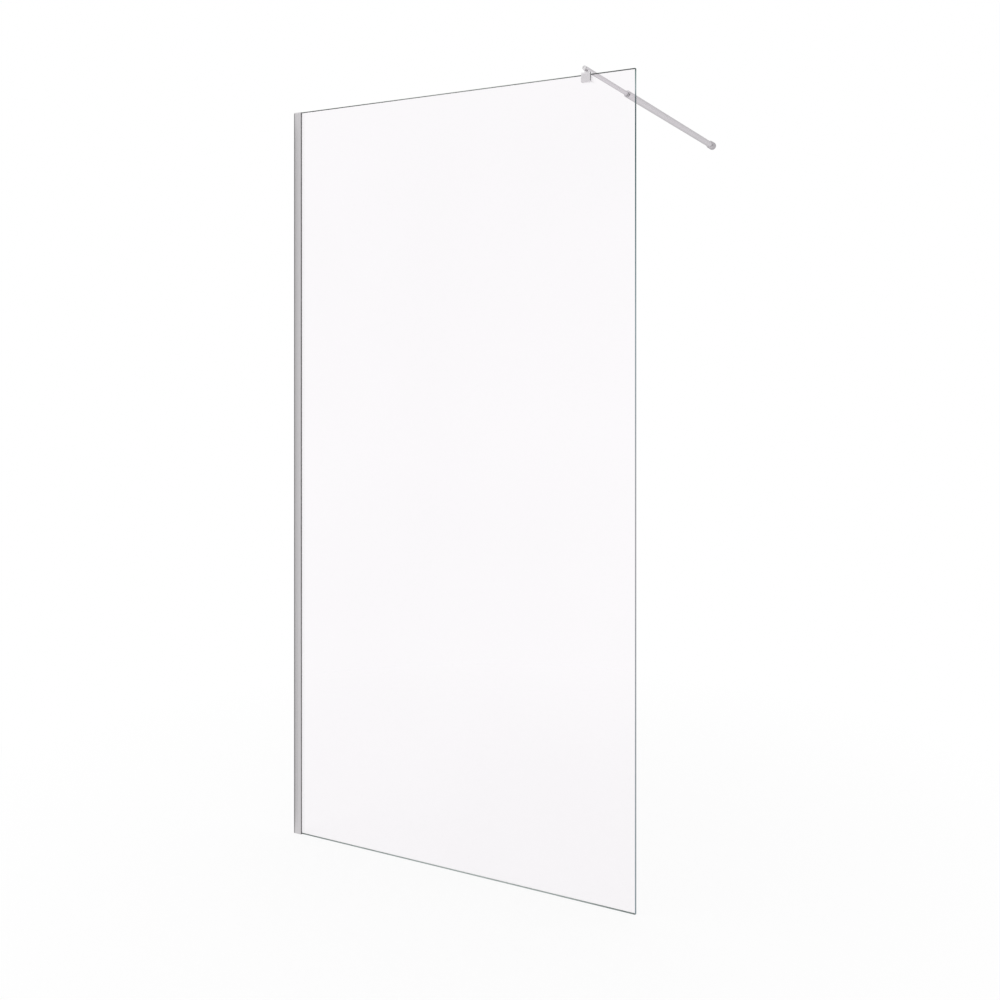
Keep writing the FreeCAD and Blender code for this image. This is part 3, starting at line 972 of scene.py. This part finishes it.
@dataclass(frozen=True)
class TelescopicBar:
    """The rod on the clip and the tube that slides over it."""

    tube: Finish = STEEL_ALONG_BAR
    collar: Finish = STEEL_ROUND_COLLAR
    cap: Finish = SATIN_PLATED_PLASTIC
    mouth_bush: Finish = GREY_ACETAL
    guide_bush: Finish = MOULDED_ACETAL
    plug: Finish = TURNED_ALUMINIUM
    screws: Finish = TUMBLED_SCREW_STEEL

    def build(self) -> None:
        """Dresses the rod, the tube and the small parts between them."""
        for node in ("inner_rod", "outer_tube"):
            dress(node, self.tube)
        dress("mouth_bush", self.mouth_bush)
        dress("rod_guide_bush", self.guide_bush)
        dress("mouth_collar", self.collar)
        dress("rod_end_cap", self.cap)
        dress("rod_plug", self.plug)
        dress("tube_lock_screw", self.screws)


@dataclass(frozen=True)
class WallEnd:
    """The turned base on the wall and the rosette that covers it."""

    base: Finish = TURNED_ALUMINIUM
    rosette: Finish = STEEL_ROUND_BAR
    ring: Finish = MOULDED_NITRILE
    screws: Finish = TUMBLED_SCREW_STEEL

    def build(self) -> None:
        """Dresses the base, its screw, the rosette and its ring."""
        dress("wall_base", self.base)
        dress("base_grub_screw", self.screws)
        dress("wall_rosette", self.rosette)
        dress("rosette_grip_ring", self.ring)


@dataclass(frozen=True)
class Card:
    """An upright grey card that only satin metal mirrors, to give it darker flanks.

    Attributes:
        name: Name of the card.
        feet: Places along X and Y that its lower edge runs through, in metres.
        top: Height of its upper edge, in metres.
        level: Brightness of the card.
        flap: Where a flap on the floor ends, as a share of the way from the origin to the card.
    """

    name: str
    feet: tuple[tuple[float, float], ...]
    top: float
    level: float
    flap: float | None = None

    def mesh(self) -> bpy.types.Mesh:
        """Skins the card, and its flap if it has one.

        Returns:
            An open mesh in one or two rows of quads.
        """
        rows = [[(x, y, height) for x, y in self.feet] for height in (0.0, self.top)]
        if self.flap is not None:
            rows.insert(0, [(x * self.flap, y * self.flap, 0.0) for x, y in self.feet])
        count = len(self.feet)
        quads = [
            (i, i + 1, i + 1 + count, i + count)
            for row in range(len(rows) - 1)
            for i in range(row * count, row * count + count - 1)
        ]
        mesh = bpy.data.meshes.new(self.name)
        mesh.from_pydata([point for row in rows for point in row], [], quads)
        return mesh

    def material(self) -> bpy.types.Material:
        """Makes the material.

        Returns:
            A grey that the sharp mirror image in clear glass leaves out.
        """
        made = bpy.data.materials.new(self.name)
        tree = empty_tree(made)
        grey = add_node(tree, "ShaderNodeEmission", {"Color": linear(WHITE), "Strength": self.level})
        unseen = add_node(tree, "ShaderNodeBsdfTransparent", {"Color": linear(WHITE)})
        rays = add_node(tree, "ShaderNodeLightPath")
        seen = add_node(tree, "ShaderNodeMixShader", {
            0: rays.outputs["Is Singular Ray"],
            1: grey.outputs["Emission"],
            2: unseen.outputs["BSDF"],
        })
        add_node(tree, "ShaderNodeOutputMaterial", {"Surface": seen.outputs["Shader"]})
        return made

    def build(self) -> None:
        """Stands the card up beside the screen."""
        mesh = self.mesh()
        mesh.materials.append(self.material())
        card = add_object(self.name, mesh)
        card.visible_camera = False
        card.visible_diffuse = False
        card.visible_transmission = False
        card.visible_shadow = False


@dataclass(frozen=True)
class Studio:
    """A white floor and a white surrounding, with one large soft lamp and two grey cards.

    Attributes:
        floor_radius: Radius of the floor, in metres.
        floor_sides: Number of sides of the round floor.
        floor_drop: How far the floor lies under the pane, in metres.
        floor_colour: Colour of the floor where the shadow falls on it.
        floor_white: Share of the floor's white that the shadow can't darken, near the screen.
        floor_middle: Place on the floor round which the shadow lies, in metres.
        floor_fade: Distances from there at which the shadow starts and ends to fade, in metres.
        cards: Cards that the metal mirrors.
        surround: Level of the light from all round.
        lamp_size: Side of the soft lamp, in metres.
        lamp_power: Power of the soft lamp, in watts.
        lamp_place: Where the soft lamp hangs, in metres.
        lamp_aim: Point that the soft lamp is turned to, in metres.
    """

    floor_radius: float = 30.0
    floor_sides: int = 96
    floor_drop: float = 0.5 * MM
    floor_colour: str = "#FBFAFB"
    floor_white: float = 0.87
    floor_middle: tuple[float, float] = (0.5, 0.2)
    floor_fade: tuple[float, float] = (0.6, 1.8)
    cards: tuple[Card, ...] = (
        Card("card_beside_channel", feet=((-0.2, -0.25), (-0.2, 0.3)), top=2.03, level=0.5, flap=0.1),
        Card("card_round_camera", feet=((0.6, -3.0), (2.6, -3.0), (2.6, 1.85)), top=3.4, level=0.15),
    )
    surround: float = 0.78
    lamp_size: float = 2.6
    lamp_power: float = 40.0
    lamp_place: tuple[float, float, float] = (-1.6, -2.4, 3.4)
    lamp_aim: tuple[float, float, float] = (0.5, 0.2, 0.9)

    def plain_rays(self, tree: bpy.types.NodeTree) -> bpy.types.NodeSocket:
        """Tells the rays that look from the rays that only carry light.

        Args:
            tree: Node tree of the material or the world.

        Returns:
            1 for a ray from the camera, a mirror or through glass, otherwise 0.
        """
        rays = add_node(tree, "ShaderNodeLightPath")
        either = add_node(tree, "ShaderNodeMath", {
            0: rays.outputs["Is Camera Ray"],
            1: rays.outputs["Is Glossy Ray"],
        }, operation="MAXIMUM")
        either = add_node(tree, "ShaderNodeMath", {
            0: either.outputs["Value"],
            1: rays.outputs["Is Transmission Ray"],
        }, operation="MAXIMUM")
        return either.outputs["Value"]

    def build_world(self) -> None:
        """Makes the surrounding white to look at and a plain level as light."""
        world = bpy.data.worlds.new("white_surround")
        tree = empty_tree(world)
        level = add_node(tree, "ShaderNodeMapRange", {
            "Value": self.plain_rays(tree),
            "To Min": self.surround,
            "To Max": 1.0,
        })
        light = add_node(tree, "ShaderNodeBackground", {
            "Color": linear(WHITE),
            "Strength": level.outputs["Result"],
        })
        add_node(tree, "ShaderNodeOutputWorld", {"Surface": light.outputs["Background"]})
        bpy.context.scene.world = world

    def floor_material(self) -> bpy.types.Material:
        """Makes the floor's material.

        Returns:
            A matt white that lets a soft shadow show near the screen.
        """
        made = bpy.data.materials.new("matt_white_floor")
        tree = empty_tree(made)
        place = add_node(tree, "ShaderNodeTexCoord")
        away = add_node(tree, "ShaderNodeVectorMath", {
            0: place.outputs["Object"],
            1: (*self.floor_middle, 0.0),
        }, operation="DISTANCE")
        white_here = add_node(tree, "ShaderNodeMapRange", {
            "Value": away.outputs["Value"],
            "From Min": self.floor_fade[0],
            "From Max": self.floor_fade[1],
            "To Min": self.floor_white,
            "To Max": 1.0,
        })
        share = add_node(tree, "ShaderNodeMath", {
            0: self.plain_rays(tree),
            1: white_here.outputs["Result"],
        }, operation="MULTIPLY")
        matt = add_node(tree, "ShaderNodeBsdfDiffuse", {"Color": linear(self.floor_colour)})
        white = add_node(tree, "ShaderNodeEmission", {"Color": linear(WHITE), "Strength": 1.0})
        mix = add_node(tree, "ShaderNodeMixShader", {
            0: share.outputs["Value"],
            1: matt.outputs["BSDF"],
            2: white.outputs["Emission"],
        })
        add_node(tree, "ShaderNodeOutputMaterial", {"Surface": mix.outputs["Shader"]})
        return made

    def build_floor(self) -> None:
        """Lays the pale floor, which keeps a soft shadow."""
        work = bmesh.new()
        bmesh.ops.create_circle(work, cap_ends=True, segments=self.floor_sides, radius=self.floor_radius)
        mesh = bpy.data.meshes.new("floor")
        work.to_mesh(mesh)
        work.free()
        mesh.materials.append(self.floor_material())
        floor = add_object("floor", mesh)
        floor.location.z = -self.floor_drop

    def build_lamp(self) -> None:
        """Hangs the soft lamp, which lights but isn't seen."""
        data = bpy.data.lights.new("soft_lamp", "AREA")
        data.shape = "SQUARE"
        data.size = self.lamp_size
        data.energy = self.lamp_power
        lamp = add_object("soft_lamp", data)
        lamp.location = self.lamp_place
        aim = Vector(self.lamp_aim) - Vector(self.lamp_place)
        lamp.rotation_euler = aim.to_track_quat("-Z", "Y").to_euler()
        lamp.visible_camera = False
        lamp.visible_glossy = False
        lamp.visible_transmission = False

    def build(self) -> None:
        """Builds the surrounding, the floor, the lamp and the cards."""
        self.build_world()
        self.build_floor()
        self.build_lamp()
        for card in self.cards:
            card.build()
        bpy.context.scene.view_settings.view_transform = "Standard"


@dataclass(frozen=True)
class PhotoCamera:
    """A level camera to the right of the screen, with the frame moved down.

    Attributes:
        place: Where the camera stands, in metres.
        turn: Angle that it is turned to the left of the bar's direction, in degrees.
        lens: Focal length on a full frame sensor, in millimetres.
        sensor: Width of the sensor, in millimetres.
        frame_shift: How far the frame is moved up, as a share of its width.
    """

    place: tuple[float, float, float] = (1.925, -2.4575, 1.2906)
    turn: float = 27.57
    lens: float = 39.67
    sensor: float = 36.0
    frame_shift: float = -0.1317

    def build(self) -> None:
        """Makes the camera that the scene is seen through."""
        data = bpy.data.cameras.new("photo_camera")
        data.lens = self.lens
        data.sensor_width = self.sensor
        data.shift_y = self.frame_shift
        camera = add_object("photo_camera", data)
        camera.location = self.place
        camera.rotation_euler = (math.pi / 2, 0.0, math.radians(self.turn))
        bpy.context.scene.camera = camera


def main() -> None:
    """Builds the studio, the camera and the sub-assemblies in order."""
    logging.basicConfig(level=logging.INFO, format="%(name)s: %(message)s")
    stage = (Studio(), PhotoCamera())
    screen = (WallProfile(), GlassPane(), GlassClip(), TelescopicBar(), WallEnd())
    for part in stage + screen:
        part.build()


if __name__ == "__main__":
    main()
